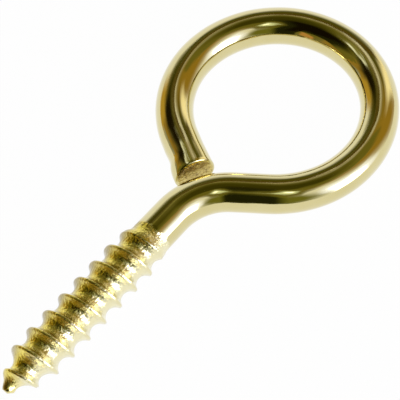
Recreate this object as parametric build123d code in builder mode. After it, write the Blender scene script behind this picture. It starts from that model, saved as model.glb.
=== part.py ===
# Screw eye: one length of round wire, threaded and pointed at one end and bent into an eye at the
# other. It lies on its side on a flat surface, as it comes to rest when it is put down.
# Millimetres, +Z up, +X from the point towards the eye. The origin is on the surface, under the
# shank's axis, at half the overall length.
from build123d import *
from math import asin, ceil, cos, radians, sin
import os

# ---- Driving dimensions, in millimetres and degrees -------------------------------------------
wire_dia = 4.5             # drawn wire

eye_inner_dia = 19.18      # clear width of the eye
eye_turn = 294.6           # how far the wire goes round the eye
bend_radius = 7.7          # centreline of the bend between the shank and the eye
bend_angle = 55.0          # turn of that bend, away from the shank's axis

end_run = 5.28             # straight stretch after the eye, up to the cut
squash_run = 3.2           # the last of it, which the shear's jaws squashed
squash_spread = 0.3        # how much wider than the wire its cut end is, in the eye's plane
squash_loss = 0.1          # how much thinner than the wire its cut end is, square to that plane
cut_slant = 6.0            # lean of the cut from square, so that it faces up a little
cut_skew = 5.0             # turn of the cut from square, so that its outer side is the longer one
cut_edge = 0.15            # rounding of the cut's rim

plain_length = 3.53        # plain shank between the bend and the thread
thread_length = 17.29      # from the plain shank to where the point begins
point_length = 4.34        # pointed stretch, up to the nib
nib_length = 0.96          # blunt tip, beyond the point
thread_dia = 5.72          # over the crests, where the thread is at its fullest
thread_dia_low = 5.51      # over the crests, where the point begins
root_dia = 4.17            # at the bottom of the groove, where the thread is at its fullest
root_dia_low = 4.04        # at the bottom of the groove, where the point begins
nib_dia = 2.47             # over the crests, where the nib begins
nib_root_dia = 1.23        # at the bottom of the groove, where the nib begins
nib_end_dia = 0.7          # blunt end of the tip
point_bulge = 0.42         # how far the crests swell out from a straight cone, halfway down the point
point_root_bulge = 0.24    # the same for the bottom of the groove
pitch = 2.42               # advance of the right-hand thread in one turn
crest_width = 0.32         # land left between two turns of the groove
crest_angle = 108.9        # turn of the crest about the shank, carried on to the start of the bend
rise_length = 4.2          # stretch over which the crests rise to their full height
run_out_length = 2.2       # stretch over which the groove comes up out of the metal

# ---- Worked out from them ---------------------------------------------------------------------
wire_radius = wire_dia / 2
eye_radius = eye_inner_dia / 2 + wire_radius
bend = radians(bend_angle)
# The slanting run between the bend and the eye is as long as brings the eye's centre on to the
# shank's axis, so that a pull on the eye runs straight down the shank.
slant_run = (eye_radius * cos(bend) - bend_radius * (1 - cos(bend))) / sin(bend)
eye_x = (bend_radius + eye_radius) * sin(bend) + slant_run * cos(bend)

thread_top = -plain_length
thread_full = thread_top - rise_length
point_x = thread_top - thread_length
nib_x = point_x - point_length
tip_x = nib_x - nib_length

# The thread's groove is as wide as fills the pitch but for the crest. It is cut a little too far
# on every side where it leaves the metal.
half_width = (pitch - crest_width) / 2
groove_over = 0.05         # how far the cut's edges reach over the crests
groove_crown = 0.3         # how far the outer side of the cut arches up from edge to edge
groove_clear = 0.1         # height of the cut's bottom over the plain wire, at the top of the thread
groove_lead = 0.37         # how far above the top of the thread the cut begins
groove_start = thread_top + groove_lead
groove_end = tip_x - half_width
groove_turns = ceil((groove_start - groove_end) / pitch)
slices_per_turn = 8        # sections of the groove in one turn

# The screw eye lies on the far side of the eye and on the fullest crest, so it leans a little.
far_x = eye_x + eye_radius
lean = asin((thread_dia / 2 - wire_radius) / (far_x - thread_full))
low_x = tip_x * cos(lean)
high_x = far_x * cos(lean) + wire_radius
start_height = wire_radius + far_x * sin(lean)

# The wire's own plane: its origin is where the bend begins, its X runs along the shank's axis
# towards the eye, and its Z is square to the eye.
wire_plane = Plane(
    origin=(-(low_x + high_x) / 2, 0, start_height),
    x_dir=(cos(lean), 0, -sin(lean)),
    z_dir=(sin(lean), 0, cos(lean)),
)
shank_axis = Axis(wire_plane.origin, wire_plane.x_dir)


def outline(x, full_dia, low_dia, tip_dia, bulge):
    """Radius at x of a line that tapers evenly down the thread and then swells down the point."""
    if x > point_x:
        share = (x - point_x) / (thread_full - point_x)
        return (low_dia + share * (full_dia - low_dia)) / 2
    share = max(0, (x - nib_x) / point_length)
    swell = 4 * bulge * share * (1 - share)
    return (tip_dia + share * (low_dia - tip_dia)) / 2 + swell


def groove_lift(x):
    """How far the cut is lifted at x, to bring it up out of the plain wire."""
    out = max(0, (x - thread_top) / run_out_length + 1)
    return out**2 * (wire_radius + groove_clear - root_dia / 2)


def groove_bottom(x):
    """Distance from the shank's axis to the bottom of the cut at x."""
    return outline(x, root_dia, root_dia_low, nib_root_dia, point_root_bulge) + groove_lift(x)


def groove_edge(x):
    """Distance from the shank's axis to the edge of the cut at x, just over the crest there."""
    crest = outline(min(x, thread_full), thread_dia, thread_dia_low, nib_dia, point_bulge)
    return crest + groove_over + groove_lift(x)


# Run of the wire's centreline from the shank round to the end of the eye, in the wire's plane.
with BuildLine(wire_plane) as run:
    first_bend = JernArc((0, 0), (1, 0), bend_radius, -bend_angle)
    slant = PolarLine(first_bend @ 1, slant_run, -bend_angle)
    JernArc(slant @ 1, slant % 1, eye_radius, eye_turn)

# Free end of the wire: it runs straight from the eye towards the shank, and is squashed where it
# was sheared off.
end_plane = Plane(run.line @ 1, x_dir=wire_plane.z_dir, z_dir=run.line % 1)
cut_plane = end_plane.offset(end_run).rotated((cut_skew, cut_slant, 0))
with BuildPart() as free_end:
    with BuildSketch(end_plane):
        Circle(wire_radius)
    extrude(amount=end_run - squash_run)
    with BuildSketch(end_plane.offset(end_run - squash_run)):
        Circle(wire_radius)
    with BuildSketch(cut_plane):
        Ellipse((wire_dia - squash_loss) / 2, (wire_dia + squash_spread) / 2)
    loft()
    fillet(free_end.faces().sort_by(Axis(end_plane.origin, end_plane.z_dir))[-1].edges(), cut_edge)

with BuildPart() as screw_eye:
    # Blank of the shank: plain wire that swells to the height of the crests, and then the point.
    with BuildSketch(wire_plane):
        with BuildLine():
            Line((tip_x, 0), (0, 0))
            Line((0, 0), (0, wire_radius))
            Line((0, wire_radius), (thread_top, wire_radius))
            crests = Line((thread_full, thread_dia / 2), (point_x, thread_dia_low / 2))
            TangentArc(crests @ 0, (thread_top, wire_radius), tangent=-(crests % 0))
            SagittaArc(crests @ 1, (nib_x, nib_dia / 2), -point_bulge)
            Line((nib_x, nib_dia / 2), (tip_x, nib_end_dia / 2))
            Line((tip_x, nib_end_dia / 2), (tip_x, 0))
        make_face()
    revolve(axis=shank_axis)

    # Thread: a round groove along a right-hand helix, half a turn from the narrow crest it leaves.
    # It comes up out of the metal at the top, and runs out over the point. Each turn is lofted
    # through its sections.
    for turn in range(groove_turns):
        for n in range(slices_per_turn + 1):
            x = groove_start - pitch * (turn + n / slices_per_turn)
            angle = crest_angle + 180 + 360 * x / pitch
            with BuildSketch(wire_plane * Location((x, 0, 0), (angle, 0, 0))):
                near = (half_width, groove_edge(x + half_width))
                far = (-half_width, groove_edge(x - half_width))
                with BuildLine():
                    ThreePointArc(far, (0, groove_bottom(x)), near)
                    SagittaArc(far, near, groove_crown)
                make_face()
        loft(mode=Mode.SUBTRACT)

    # Bend, eye and free end: the same wire, carried on along its run.
    with BuildSketch(run.line ^ 0):
        Circle(wire_radius)
    sweep(path=run.line)
    add(free_end)

screw_eye.part.label = "screw_eye"
os.makedirs("parts", exist_ok=True)
export_step(screw_eye.part, "parts/screw_eye.step")
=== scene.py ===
"""A screw eye of round wire, brass plated, lying on its side on a white table."""
from math import asin, cos, hypot, pi, radians, sin, sqrt, tan

import bmesh
import bpy
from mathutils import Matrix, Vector, noise


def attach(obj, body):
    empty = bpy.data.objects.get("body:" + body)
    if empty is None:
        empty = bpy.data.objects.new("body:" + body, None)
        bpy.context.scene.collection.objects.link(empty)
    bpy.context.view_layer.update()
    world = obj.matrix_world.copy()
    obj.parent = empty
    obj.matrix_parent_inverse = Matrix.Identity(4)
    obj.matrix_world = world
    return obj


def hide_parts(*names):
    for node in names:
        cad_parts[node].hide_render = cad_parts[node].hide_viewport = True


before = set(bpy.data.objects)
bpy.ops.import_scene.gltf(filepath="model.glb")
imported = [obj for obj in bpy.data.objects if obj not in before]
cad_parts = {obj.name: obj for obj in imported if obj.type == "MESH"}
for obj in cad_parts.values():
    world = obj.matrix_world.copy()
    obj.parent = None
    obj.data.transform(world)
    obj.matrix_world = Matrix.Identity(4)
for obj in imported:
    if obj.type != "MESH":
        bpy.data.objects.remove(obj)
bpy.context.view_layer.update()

# ---- The screw eye: its wire ---------------------------------------------------------------------
# One length of drawn steel wire, 4.5 mm thick. It was bent cold round a peg into the eye, after a
# small bend the other way that brings the eye on to the shank's axis. It lies on the far side of
# the eye and on the fullest crest of its thread. Sizes are in millimetres, as in the CAD.
MM = 0.001
WIRE = 4.5 / 2                      # radius of the wire
EYE = 19.18 / 2 + WIRE              # radius of the eye, to the middle of the wire
EYE_TURN = radians(294.6)           # how far the wire goes round it
BEND_RADIUS = 7.7                   # bend between the shank and the eye
BEND = radians(55)
END_RUN = 5.28                      # straight stretch after the eye, up to the cut
# The slanting run between the bend and the eye is as long as puts the eye on the shank's axis.
SLANT = (EYE * cos(BEND) - BEND_RADIUS * (1 - cos(BEND))) / sin(BEND)
EYE_X = (BEND_RADIUS + EYE) * sin(BEND) + SLANT * cos(BEND)

PLAIN = 3.53                        # plain shank between the bend and the thread
THREAD = 17.29                      # from there to where the point begins
POINT = 4.34                        # pointed stretch, up to the nib
NIB = 0.96                          # blunt tip
RISE = 4.2                          # stretch over which the crests rise to their full height
CREST_FULL = 2.86                   # radius over the crests, where the thread is at its fullest
CREST_LOW = 2.755                   # the same where the point begins
CREST_NIB = 1.235                   # the same where the nib begins
NIB_END = 0.35                      # radius of the nib's blunt end
ROOT_FULL = 2.085                   # radius at the groove's bottom, at the same three places
ROOT_LOW = 2.02
ROOT_NIB = 0.615
CREST_BULGE = 0.42                  # how far the point swells out from a straight cone
ROOT_BULGE = 0.24
THREAD_TOP = -PLAIN
THREAD_FULL = THREAD_TOP - RISE
POINT_X = THREAD_TOP - THREAD
NIB_X = POINT_X - POINT
TIP_X = NIB_X - NIB

FAR_X = EYE_X + EYE
LEAN = asin((CREST_FULL - WIRE) / (FAR_X - THREAD_FULL))
ALONG = Vector((cos(LEAN), 0, -sin(LEAN)))
ACROSS = Vector((0, 1, 0))
UP = Vector((sin(LEAN), 0, cos(LEAN)))
START = Vector((-(TIP_X * cos(LEAN) + FAR_X * cos(LEAN) + WIRE) / 2, 0, WIRE + FAR_X * sin(LEAN)))


def place(x, y, z):
    """A point of the wire's own plane, in millimetres, as one of the table's, in metres."""
    return (START + x * ALONG + y * ACROSS + z * UP) * MM


def run_at(s):
    """Where the wire's centreline is after s millimetres of its run, and which way it heads."""
    bend_run = BEND_RADIUS * BEND
    if s < 0:
        return s, 0, 0
    if s < bend_run:
        a = s / BEND_RADIUS
        return BEND_RADIUS * sin(a), -BEND_RADIUS * (1 - cos(a)), -a
    x, y = BEND_RADIUS * sin(BEND), -BEND_RADIUS * (1 - cos(BEND))
    s -= bend_run
    if s < SLANT:
        return x + s * cos(BEND), y - s * sin(BEND), -BEND
    s -= SLANT
    a = min(s / EYE, EYE_TURN)
    heading = a - BEND
    x, y = EYE_X + EYE * sin(heading), -EYE * cos(heading)
    s -= a * EYE
    return x + s * cos(heading), y + s * sin(heading), heading


RUN = BEND_RADIUS * BEND + SLANT + EYE * EYE_TURN + END_RUN

# ---- The screw eye: its thread -------------------------------------------------------------------
# A coarse right-hand wood-screw thread, rolled into the same wire. The rolls pressed round valleys
# and pushed the metal up into narrow crests, which shrink down the point to a blunt nib.
PITCH = 2.42
CREST_ANGLE = radians(108.9)        # turn of the crest about the shank
CREST_WIDTH = 0.32
HALF_GROOVE = (PITCH - CREST_WIDTH) / 2
RUN_OUT = 2.2                       # stretch over which the groove comes up out of the metal
RUN_OUT_CLEAR = 0.1                 # how far it is over the plain wire at the top of the thread
OVER = 0.05                         # how far the groove's edges reach over the crests
LEAD = 0.37                         # how far above the top of the thread the groove begins
CREST_ROUNDING = 0.3                # rolled crests have no sharp edges


def taper(x, full, low, tip, bulge):
    """Radius of a line that falls evenly down the thread and then swells down the point."""
    if x > POINT_X:
        return low + (full - low) * (x - POINT_X) / (THREAD_FULL - POINT_X)
    share = max(0, (x - NIB_X) / POINT)
    return tip + share * (low - tip) + 4 * bulge * share * (1 - share)


def crest(x):
    """Radius over the crests at x, below the rise."""
    return taper(x, CREST_FULL, CREST_LOW, CREST_NIB, CREST_BULGE)


def lift(x):
    """How far the groove's bottom has come up out of the metal at x."""
    out = max(0, (x - THREAD_TOP) / RUN_OUT + 1)
    return out**2 * (WIRE + RUN_OUT_CLEAR - ROOT_FULL)


def blank(x):
    """Radius of the shank at x, over its crests."""
    if x > THREAD_TOP:
        return WIRE
    if x > THREAD_FULL:
        slope = (CREST_FULL - CREST_LOW) / (THREAD_FULL - POINT_X)
        share = (x - THREAD_FULL) / RISE
        return CREST_FULL + slope * RISE * share + (WIRE - CREST_FULL - slope * RISE) * share**2
    if x > NIB_X:
        return crest(x)
    return NIB_END + (CREST_NIB - NIB_END) * (x - TIP_X) / NIB


def groove(x, around):
    """Radius of the rolled groove at x, at an angle round the shank."""
    turns = (around - CREST_ANGLE - pi) / (2 * pi)
    middle = PITCH * (turns + round(x / PITCH - turns))
    if middle > THREAD_TOP + LEAD or middle < TIP_X - HALF_GROOVE:
        return WIRE * 2
    bottom = taper(middle, ROOT_FULL, ROOT_LOW, ROOT_NIB, ROOT_BULGE) + lift(middle)
    near, far = [crest(min(middle + side, THREAD_FULL)) for side in (HALF_GROOVE, -HALF_GROOVE)]
    depth = (near + far) / 2 + OVER + lift(middle) - bottom
    radius = (HALF_GROOVE**2 + depth**2) / (2 * depth)
    dx = max(-radius, min(radius, x - middle))
    return bottom + radius - sqrt(radius**2 - dx**2) + (near - far) * dx / (2 * HALF_GROOVE)


def shank_radius(x, around):
    """Radius of the finished shank: the blank less the groove, with the crests rounded over."""
    a, b = blank(x), groove(x, around)
    near = max(0, CREST_ROUNDING - abs(a - b)) / CREST_ROUNDING
    return min(a, b) - near**2 * CREST_ROUNDING / 4


# ---- The screw eye: its skin ---------------------------------------------------------------------
# The whole surface of the wire is one piece, so it is one mesh. Drawing and rolling left it a
# little uneven, the start of the thread is torn, and the shear that cut the end off squashed it.
# Rows of points follow the thread's helix on the shank and are square to the plain wire beyond.
AROUND = 96
ROWS = (0, 0.016, 0.034, 0.06, 0.1, 0.15, 0.21, 0.28, 0.36, 0.43, 0.5,
        0.57, 0.64, 0.72, 0.79, 0.85, 0.9, 0.94, 0.966, 0.984)  # of a pitch, close at the crest
SPARE_TURNS = 3                     # rows past the tip, which fall on its end and close it
JOIN_X = -1.6                       # where the shank's rows end and the square ones begin
STEP = 0.55                         # between square rows

DRAWN_WAVES = ((0.012, 3.1), (0.006, 1.3))   # height and length of the plain wire's unevenness
DRAWN_SUNK = 0.008                  # keeps those waves within the wire's size
DRAWN_FADE = 1.5                    # stretch over which they begin
ROLLED_WAVES = ((0.014, 0.7), (0.02, 1.9))
TORN_WAVE = (0.05, 0.4)
TORN_BELOW = 0.2                    # middle of the torn stretch, below the top of the thread
TORN_REACH = 1.1
TORN_DULL = 0.35                    # how much duller the torn metal looks
ROLLS_ABOVE = 0.5                   # the rolls left their marks this far above the thread,
ROLLS_WAVER = (0.3, 1.1)            # give or take this much, over this length
ROLLS_FADE = 0.2
TIP_FADE = 0.3
ROLLED_LEAST = 0.75                 # roughness of a crest, as a share of the deepest valley's
VALLEY = 0.9                        # depth of the deepest valley
NIB_PAINTED_SHADE = 0.35                     # painted shade, a dull speckled gold, reaches this far above the nib, on its side away from the key light
NIB_PAINTED_SHADE_FADE = 0.4
NIB_PAINTED_SHADE_SIDE = 0.5

SQUASH_RUN = 3.2                    # stretch that the shear squashed
SQUASH_SPREAD = 0.15
SQUASH_LOSS = 0.05
SQUASH_ROWS = 8
JAW_BULGE = (0.14, 1.0, 1.1)        # swelling on the outer side: height, middle and reach,
JAW_PINCH = (0.07, 2.7, 0.9)        # measured from the cut, and the dent before it
CUT_SKEW = radians(5)
CUT_SLANT = radians(6)
CUT_EDGE = 0.15                     # rounding of the cut's rim
CUT_EDGE_ROWS = 4
CUT_FACE = 2.1                      # from that rounding to the middle of the cut face
CUT_FACE_ROWS = (0.12, 0.3, 0.5, 0.7, 0.86)
CUT_DULL = 0.9
WELD = 1e-7                         # points nearer than this, in metres, are one point


def uneven(x, y, z, size):
    """Smooth random value, from -1 to 1, of a given size in millimetres."""
    return noise.noise(Vector((x, y, z)) / size)


def ramp(distance, length):
    """Rises evenly from 0 to 1 over a length."""
    return max(0, min(1, distance / length))


def hump(s, height, middle, reach):
    """Height of a rounded swelling at s, with its place given back from the end of the wire."""
    return height * max(0, 1 - ((RUN - middle - s) / reach) ** 2)


mesh = bmesh.new()
straight = mesh.verts.layers.float_vector.new("straight")  # along, to the side and up, unbent
rolled = mesh.verts.layers.float.new("rolled")             # 0 on plain wire, 1 deep in the thread
bare_and_painted_shade = mesh.verts.layers.float.new("bare_and_painted_shade")                 # 1 where the steel is bare, on the cut face, and on the nib's side away from the key light, where it is painted shade


def add_point(s, around, radius, x, y, heading, depth, slide=0, bare_and_shade=0):
    """Adds a point of the skin: s millimetres along the wire, at an angle round it."""
    side, up = radius * cos(around), radius * sin(around)
    v = mesh.verts.new(place(
        x - side * sin(heading) + slide * cos(heading),
        y + side * cos(heading) + slide * sin(heading),
        up,
    ))
    v[straight] = (s, side, up)
    v[rolled] = depth
    v[bare_and_painted_shade] = bare_and_shade
    return v


def shank_point(x, j):
    """Adds a point of the shank at x, the jth of those round it."""
    around = 2 * pi * j / AROUND
    x = max(TIP_X, min(JOIN_X, x))
    radius = shank_radius(x, around)
    depth = ramp(blank(x) - radius, VALLEY)
    spot = x, radius * cos(around), radius * sin(around)
    waver, length = ROLLS_WAVER
    edge = THREAD_TOP + ROLLS_ABOVE + waver * uneven(*spot, length)
    rough = ramp(edge - x, ROLLS_FADE) * ramp(x - TIP_X, TIP_FADE)
    torn = rough * max(0, 1 - abs(x - THREAD_TOP + TORN_BELOW) / TORN_REACH)
    for height, length in ROLLED_WAVES:
        radius += rough * height * uneven(*spot, length)
    height, length = TORN_WAVE
    radius += torn * height * uneven(*spot, length)
    # Painted shade: the nib's side away from the key light gets the dull, darker speckled gold.
    bare_and_shade = ramp(NIB_X + NIB_PAINTED_SHADE - x, NIB_PAINTED_SHADE_FADE) * ramp(cos(around) + NIB_PAINTED_SHADE_SIDE, NIB_PAINTED_SHADE_SIDE)
    dull = rough * (ROLLED_LEAST + (1 - ROLLED_LEAST) * depth) + TORN_DULL * torn
    return add_point(x, around, radius, x, 0, 0, dull, bare_and_shade=bare_and_shade)


def wire_ring(s, radius_y=WIRE, radius_z=WIRE, inset=0, slanted=0, cut=0):
    """Adds a ring of points square to the wire at s, leaning as the cut does by a share slanted."""
    x, y, heading = run_at(s)
    jaw = hump(s, *JAW_BULGE) - hump(s, *JAW_PINCH)
    drawn = ramp(s - JOIN_X, DRAWN_FADE)
    ring = []
    for j in range(AROUND):
        around = 2 * pi * j / AROUND
        c, d = cos(around), sin(around)
        radius = radius_y * radius_z / hypot(radius_z * c, radius_y * d) - inset
        spot = x - radius * c * sin(heading), y + radius * c * cos(heading), radius * d
        radius -= drawn * DRAWN_SUNK
        for height, length in DRAWN_WAVES:
            radius += drawn * height * uneven(*spot, length)
        radius += jaw * max(0, -c) ** 2
        slide = slanted * (-radius * c * tan(CUT_SKEW) - radius * d * tan(CUT_SLANT))
        ring.append(add_point(s, around, radius, x, y, heading, CUT_DULL * cut, slide, cut))
    return ring


phase = -PITCH * CREST_ANGLE / (2 * pi)
first = int((TIP_X - phase) / PITCH) - SPARE_TURNS
last = int((JOIN_X - phase) / PITCH) + 1
strip = []
for turn in range(first, last + 1):
    for row in ROWS:
        strip.append([shank_point(phase + PITCH * (turn + row + j / AROUND), j) for j in range(AROUND)])
for i in range(len(strip) - 1):
    for j in range(AROUND - 1):
        mesh.faces.new((strip[i][j], strip[i][j + 1], strip[i + 1][j + 1], strip[i + 1][j]))
    k = i + len(ROWS)
    if k + 1 < len(strip):
        mesh.faces.new((strip[i][-1], strip[k][0], strip[k + 1][0], strip[i + 1][-1]))

rings = []
plain_run = RUN - SQUASH_RUN - JOIN_X
count = int(plain_run / STEP)
for i in range(count + 1):
    rings.append(wire_ring(JOIN_X + i * plain_run / count))
for i in range(1, SQUASH_ROWS + 1):
    t = i / SQUASH_ROWS
    s = RUN - SQUASH_RUN + t * (SQUASH_RUN - CUT_EDGE)
    rings.append(wire_ring(s, WIRE + t * SQUASH_SPREAD, WIRE - t * SQUASH_LOSS, 0, t))
end_size = WIRE + SQUASH_SPREAD, WIRE - SQUASH_LOSS
for i in range(1, CUT_EDGE_ROWS + 1):
    a = pi / 2 * i / CUT_EDGE_ROWS
    rings.append(wire_ring(RUN - CUT_EDGE * (1 - sin(a)), *end_size, CUT_EDGE * (1 - cos(a)), 1))
for share in CUT_FACE_ROWS:
    rings.append(wire_ring(RUN, *end_size, CUT_EDGE + share * CUT_FACE, 1, 1))
for a, b in zip(rings, rings[1:]):
    for j in range(AROUND):
        k = (j + 1) % AROUND
        mesh.faces.new((a[j], a[k], b[k], b[j]))
mesh.faces.new(rings[-1])

bmesh.ops.remove_doubles(mesh, verts=mesh.verts, dist=WELD)
tip = [e for e in mesh.edges if e.is_boundary]
bmesh.ops.holes_fill(mesh, edges=tip, sides=0)
bmesh.ops.recalc_face_normals(mesh, faces=mesh.faces)
for face in mesh.faces:
    face.smooth = True
skin = bpy.data.meshes.new("screw_eye_skin")
mesh.to_mesh(skin)
mesh.free()
screw_eye = bpy.data.objects.new("screw_eye_skin", skin)
bpy.context.scene.collection.objects.link(screw_eye)
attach(screw_eye, "root")
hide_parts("screw_eye")


def linear(hex_colour):
    """A linear colour from an sRGB hex value."""
    values = [int(hex_colour[i:i + 2], 16) / 255 for i in (1, 3, 5)]
    return [v / 12.92 if v <= 0.04045 else ((v + 0.055) / 1.055) ** 2.4 for v in values] + [1]


def add_node(tree, kind, links=(), **settings):
    """Adds a node, sets its inputs and properties, and links (input, socket) pairs to it."""
    node = tree.nodes.new(kind)
    for name, value in settings.items():
        if name.startswith("in_"):
            key = name[3:].replace("_", " ")
            node.inputs[int(key) if key.isdigit() else key].default_value = value
        else:
            setattr(node, name, value)
    for key, socket in links:
        tree.links.new(socket, node.inputs[key])
    return node


# Brass plating over drawn steel wire, under clear lacquer. The eye is a mirror with a pale yellow
# cast, broken up by fine lines from the drawing, and the lacquer makes its rims fade into the light.
# The thread was never polished: its frosted grain glitters. Its colour is painted light and shade: cream
# on the side towards the key light, a painted highlight, deeper yellow in the middle, and browner on the
# side away from it, a painted shade. The cut face is worn to a dull, speckled gold, and the same dull,
# speckled gold on one side of the nib, the side away from the key light, is painted shade.
# Sizes are in millimetres. A colour mix takes its two colours on inputs 6 and 7.
PATCH = 1 / 0.35                    # patches of paler plating
DRAW_LINE = 1 / 3.5                 # width of a line from the drawing
DRAW_STRETCH = 0.1                  # the lines are ten times as long as they are wide
SPECK = 0.625                       # speck of plating left on a bare face
GRAIN = 1 / 3.6                     # coarser than the real frosting, so that it shows
DRAW_DEPTH = 0.007
GRAIN_DEPTH = 0.115
THREAD_LACQUER = 0.45               # lacquer left on the deepest thread, where it is thinner
BARE_AND_SHADED_DULL = 0.2                     # how much rougher the bare cut face and the painted-shade side of the nib are
brass = bpy.data.materials.new("brass_plating")
brass.use_nodes = True
tree = brass.node_tree
shader = tree.nodes["Principled BSDF"]
shader.inputs["Metallic"].default_value = 1
shader.inputs["Coat Roughness"].default_value = 0.05
spot = add_node(tree, "ShaderNodeAttribute", attribute_name="straight")
in_thread = add_node(tree, "ShaderNodeAttribute", attribute_name="rolled")
bare_and_shaded = add_node(tree, "ShaderNodeAttribute", attribute_name="bare_and_painted_shade")
lacquer = add_node(tree, "ShaderNodeMath", [(0, in_thread.outputs["Fac"])],
                   operation="MULTIPLY_ADD", in_1=THREAD_LACQUER - 1, in_2=1.0)
tree.links.new(lacquer.outputs[0], shader.inputs["Coat Weight"])

patches = add_node(tree, "ShaderNodeTexNoise", [("Vector", spot.outputs["Vector"])],
                   in_Scale=1 / PATCH, in_Detail=4.0, in_Roughness=0.6)
plate = add_node(tree, "ShaderNodeMix", [("Factor", patches.outputs["Fac"])],
                 data_type="RGBA", in_6=linear("#DBD19C"), in_7=linear("#D1C484"))
# Painted light and shade across the thread: cream on the side towards the key light is a painted highlight,
# then deeper yellow in the middle, and browner on the side away from it is painted shade.
sides = add_node(tree, "ShaderNodeSeparateXYZ", [(0, spot.outputs["Vector"])])
middle = add_node(tree, "ShaderNodeMapRange", [("Value", sides.outputs["Y"])],
                  interpolation_type="SMOOTHSTEP", in_From_Min=-1.5, in_From_Max=0.5)
painted_highlight_to_yellow = add_node(tree, "ShaderNodeMix", [("Factor", middle.outputs["Result"])],
                  data_type="RGBA", in_6=linear("#F0E9BF"), in_7=linear("#F5E05A"))
outer = add_node(tree, "ShaderNodeMapRange", [("Value", sides.outputs["Y"])],
                 interpolation_type="SMOOTHSTEP", in_From_Min=0.4, in_From_Max=2.3)
thread_painted_light_and_shade = add_node(tree, "ShaderNodeMix", [("Factor", outer.outputs["Result"]), (6, painted_highlight_to_yellow.outputs[2])],
                        data_type="RGBA", in_7=linear("#9A8A5A"))
plated = add_node(tree, "ShaderNodeMix",
                  [("Factor", in_thread.outputs["Fac"]), (6, plate.outputs[2]), (7, thread_painted_light_and_shade.outputs[2])],
                  data_type="RGBA")
# Dull, speckled gold: the bare cut face, and painted shade on the nib's side away from the key light.
specks = add_node(tree, "ShaderNodeTexNoise", [("Vector", spot.outputs["Vector"])],
                  in_Scale=1 / SPECK, in_Detail=3.0, in_Roughness=0.6)
speckled = add_node(tree, "ShaderNodeMapRange", [("Value", specks.outputs["Fac"])],
                    in_From_Min=0.42, in_From_Max=0.6)
dull_gold_and_painted_shade = add_node(tree, "ShaderNodeMix", [("Factor", speckled.outputs["Result"])],
                     data_type="RGBA", in_6=linear("#A08638"), in_7=linear("#E0CC78"))
colour = add_node(tree, "ShaderNodeMix",
                  [("Factor", bare_and_shaded.outputs["Fac"]), (6, plated.outputs[2]), (7, dull_gold_and_painted_shade.outputs[2])],
                  data_type="RGBA")
tree.links.new(colour.outputs[2], shader.inputs["Base Color"])

polish = add_node(tree, "ShaderNodeMapRange", [("Value", in_thread.outputs["Fac"])],
                  in_To_Min=0.08, in_To_Max=0.12)
dulled = add_node(tree, "ShaderNodeMath", [(0, bare_and_shaded.outputs["Fac"]), (2, polish.outputs["Result"])],
                  operation="MULTIPLY_ADD", in_1=BARE_AND_SHADED_DULL)
tree.links.new(dulled.outputs[0], shader.inputs["Roughness"])

stretch = add_node(tree, "ShaderNodeVectorMath", [(0, spot.outputs["Vector"])],
                   operation="MULTIPLY", in_1=(DRAW_STRETCH, 1, 1))
lines = add_node(tree, "ShaderNodeTexNoise", [("Vector", stretch.outputs["Vector"])],
                 in_Scale=1 / DRAW_LINE, in_Detail=1.0, in_Roughness=0.5)
drawn = add_node(tree, "ShaderNodeBump", [("Height", lines.outputs["Fac"])],
                 in_Strength=1.0, in_Distance=DRAW_DEPTH * MM)
grain = add_node(tree, "ShaderNodeTexNoise", [("Vector", spot.outputs["Vector"])],
                 in_Scale=1 / GRAIN, in_Detail=2.5, in_Roughness=0.6)
frosted = add_node(tree, "ShaderNodeBump",
                   [("Height", grain.outputs["Fac"]), ("Strength", in_thread.outputs["Fac"]),
                    ("Normal", drawn.outputs["Normal"])], in_Distance=GRAIN_DEPTH * MM)
tree.links.new(frosted.outputs["Normal"], shader.inputs["Normal"])
skin.materials.append(brass)

# ---- The table -----------------------------------------------------------------------------------
# A white table under an even white light. Its white paper glows to the camera and to the metal, so
# that it meets the room without an edge, and it keeps a faint shadow of the screw eye.
TABLE = 3                           # metres from its middle to its sides
PAPER_GLOW = 0.985
scene = bpy.context.scene
scene.view_settings.view_transform = "Standard"

world = bpy.data.worlds.new("white_room")
scene.world = world
world.use_nodes = True
world.node_tree.nodes["Background"].inputs["Color"].default_value = (1, 1, 1, 1)
world.node_tree.nodes["Background"].inputs["Strength"].default_value = 1

table = bpy.data.meshes.new("table")
table_corners = [(-TABLE, -TABLE, 0), (TABLE, -TABLE, 0), (TABLE, TABLE, 0), (-TABLE, TABLE, 0)]
table.from_pydata(table_corners, [], [(0, 1, 2, 3)])
table_top = bpy.data.objects.new("table_top", table)
scene.collection.objects.link(table_top)
paper = bpy.data.materials.new("white_paper")
paper.use_nodes = True
tree = paper.node_tree
shader = tree.nodes["Principled BSDF"]
shader.inputs["Base Color"].default_value = (0.9, 0.9, 0.9, 1)
shader.inputs["Roughness"].default_value = 0.9
rays = add_node(tree, "ShaderNodeLightPath")
seen = add_node(tree, "ShaderNodeMath",
                [(0, rays.outputs["Is Camera Ray"]), (1, rays.outputs["Is Glossy Ray"])], operation="MAXIMUM")
seen = add_node(tree, "ShaderNodeMath", [(0, seen.outputs[0]), (1, rays.outputs["Is Transmission Ray"])],
                operation="MAXIMUM")
share = add_node(tree, "ShaderNodeMath", [(0, seen.outputs[0])], operation="MULTIPLY", in_1=PAPER_GLOW)
glow = add_node(tree, "ShaderNodeEmission", in_Color=(1, 1, 1, 1), in_Strength=1.0)
mixed = add_node(tree, "ShaderNodeMixShader",
                 [(0, share.outputs[0]), (1, shader.outputs[0]), (2, glow.outputs[0])])
tree.links.new(mixed.outputs[0], tree.nodes["Material Output"].inputs["Surface"])
table.materials.append(paper)

# ---- The studio ----------------------------------------------------------------------------------
# Dark flags, coloured walls and bright panels stand round the table, and the polished metal mirrors
# them. They are sheets of card and soft boxes, no part of the screw eye, and the camera doesn't see
# them. Each hangs just inside the one before, so a later one covers those behind it.
# Only lamp and small_lamp were placed one by one. The other sheets' corners, fades and colours are the
# rounded output of a separate least-squares fit, with a few changed after it.
STUDIO = 0.9                        # metres from the screw eye to the first sheet
SHEET_GAP = 0.01
SHEET_CUTS = 5
panels = []


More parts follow.
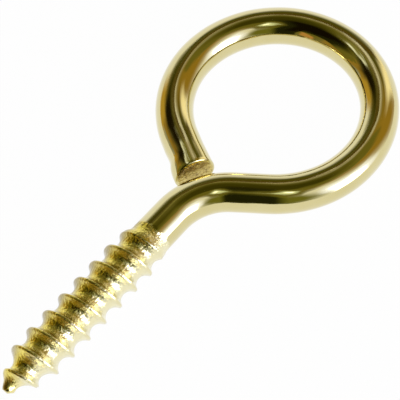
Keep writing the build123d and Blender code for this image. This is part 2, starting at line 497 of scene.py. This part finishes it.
def panel(name, corners, colour, strength, soft):
    """Hangs a sheet with its corners at (compass, tilt from overhead), in degrees. It shines with
    a colour and strength, and fades out over the outer share soft of its width."""
    rim = [Vector((sin(radians(t)) * cos(radians(c)), sin(radians(t)) * sin(radians(c)), cos(radians(t))))
           for c, t in corners]
    middle = sum(rim, Vector()) / len(rim)
    sheet = bmesh.new()
    cover = sheet.verts.layers.float.new("cover")
    outer = [sheet.verts.new(p) for p in rim]
    inner = [sheet.verts.new(middle.lerp(p, 1 - soft)) for p in rim]
    centre = sheet.verts.new(middle)
    for v in inner + [centre]:
        v[cover] = 1
    for i in range(len(rim)):
        k = (i + 1) % len(rim)
        sheet.faces.new((outer[i], outer[k], inner[k], inner[i]))
        sheet.faces.new((inner[i], inner[k], centre))
    bmesh.ops.subdivide_edges(sheet, edges=sheet.edges, cuts=SHEET_CUTS, use_grid_fill=True)
    for v in sheet.verts:
        v.co = v.co.normalized() * (STUDIO - SHEET_GAP * len(panels))
    data = bpy.data.meshes.new(name)
    sheet.to_mesh(data)
    sheet.free()
    obj = bpy.data.objects.new(name, data)
    scene.collection.objects.link(obj)
    obj.visible_camera = False
    material = bpy.data.materials.new(name)
    material.use_nodes = True
    tree = material.node_tree
    tree.nodes.remove(tree.nodes["Principled BSDF"])
    edge = add_node(tree, "ShaderNodeAttribute", attribute_name="cover")
    fade = add_node(tree, "ShaderNodeMapRange", [("Value", edge.outputs["Fac"])],
                    interpolation_type="SMOOTHSTEP")
    clear = add_node(tree, "ShaderNodeBsdfTransparent")
    shine = add_node(tree, "ShaderNodeEmission", in_Color=linear(colour), in_Strength=strength)
    mixed = add_node(tree, "ShaderNodeMixShader",
                     [(0, fade.outputs["Result"]), (1, clear.outputs[0]), (2, shine.outputs[0])])
    tree.links.new(mixed.outputs[0], tree.nodes["Material Output"].inputs["Surface"])
    data.materials.append(material)
    panels.append(obj)


# The ceiling gives the metal its olive ground.
panel("ceiling", [(15, 84), (29, 40), (69, 77), (91, 75), (131, 118), (155, 102), (166, 120),
                  (215, 119), (201, 81), (240, 58), (250, 43), (273, 34), (311, 42), (313, 47),
                  (335, 67), (344, 87)],
      "#756F2A", 1.0, 0.80)
panel("overhead", [(-7, 31), (45, 35), (121, 38), (201, 36), (232, 10), (263, 17), (315, 30)],
      "#43400B", 1.0, 0.60)

# Warm walls behind and to the left colour the flanks of the ring, between the dark flags.
panel("left_wall", [(92, 57), (94, 90), (114, 78), (138, 100), (174, 87), (170, 68), (179, 56), (145, 71),
                    (106, 46), (103, 55)],
      "#A28437", 1.0, 0.37)
panel("gold_back", [(59, 43), (78, 88), (107, 101), (123, 98), (104, 67), (101, 48)],
      "#C5A241", 1.0, 0.63)
panel("tan_left", [(177, 71), (177, 95), (195, 79), (191, 55)],
      "#CD9955", 1.0, 0.34)
panel("left_black", [(104, 34), (114, 49), (148, 74), (179, 60), (196, 53), (202, 95), (235, 101), (239, 69),
                     (212, 31), (176, -6), (140, 1)],
      "#24250A", 1.0, 0.41)
panel("deep_black", [(103, 39), (143, 47), (174, 56), (189, 45), (198, 72), (214, 70), (197, 32), (193, -7)],
      "#150F03", 1.0, 0.44)
panel("front_olive", [(216, 118), (249, 113), (263, 87), (254, 46), (252, 45), (205, 38), (205, 35),
                      (217, 49)],
      "#78782A", 1.0, 0.80)
panel("back_black", [(27, 66), (53, 27), (103, 40), (115, 23), (120, 74), (94, 68)],
      "#1E1704", 1.0, 0.75)
panel("back_olive", [(-34, 40), (27, 50), (30, 36), (72, 39), (99, 69), (45, 76), (3, 102), (-13, 62)],
      "#565317", 1.0, 0.77)

# The bright side: a warm wall, a cream one and the key light, which whitens the lower right of the
# wire, with a haze above it.
panel("gold_right", [(228, 32), (317, 36), (355, 37), (422, 36), (351, 76), (348, 115), (314, 97), (296, 74)],
      "#A2822C", 1.0, 0.79)
panel("cream_right", [(343, 48), (360, 40), (9, 52), (10, 101), (345, 87), (340, 95)],
      "#FFF4D7", 1.3, 0.80)
panel("key", [(262, 96), (249, 75), (249, 53), (261, 38), (272, 39), (308, 58), (310, 86), (287, 112)],
      "#CCD3FF", 2.3, 0.55)
panel("haze", [(208, 29), (245, 10), (253, 28), (243, 36), (226, 37)],
      "#F2FFDD", 1.0, 0.55)

# Thin strips and small lamps draw the fine lines and the brightest spots on the ring, and the large
# lamp makes the grain of the thread glitter.
panel("back_line", [(70, 44), (49, 30), (25, 43), (20, 46), (-2, 77), (5, 78), (25, 55), (40, 45), (36, 47),
                    (64, 43)],
      "#5C4E1A", 1.0, 0.39)
panel("spot", [(60, 31), (84, 23), (101, 25), (100, 36), (83, 37), (66, 34)],
      "#EDF5FF", 2.0, 0.35)
panel("streak", [(111, 43), (67, 38), (61, 24), (46, 29), (40, 31), (39, 38), (62, 23), (99, 22)],
      "#8E8A4C", 1.0, 0.80)
panel("lamp", [(258, 58), (286, 54), (296, 70), (294, 90), (262, 90)],
      "#FFFFFF", 11.0, 0.55)
panel("small_lamp", [(226, 24), (236, 17), (246, 25), (238, 33)],
      "#FFFFFF", 2.5, 0.70)

# ---- The camera ----------------------------------------------------------------------------------
# It looks down on the screw eye from close by, from its point's side.
camera = bpy.data.objects.new("camera", bpy.data.cameras.new("camera"))
camera.location = (-0.040772, -0.045628, 0.108331)
camera.rotation_euler = (0.515104, 0.072260, -0.870520)
camera.data.lens = 99
camera.data.sensor_width = 36
camera.data.clip_start = 0.001
scene.collection.objects.link(camera)
scene.camera = camera
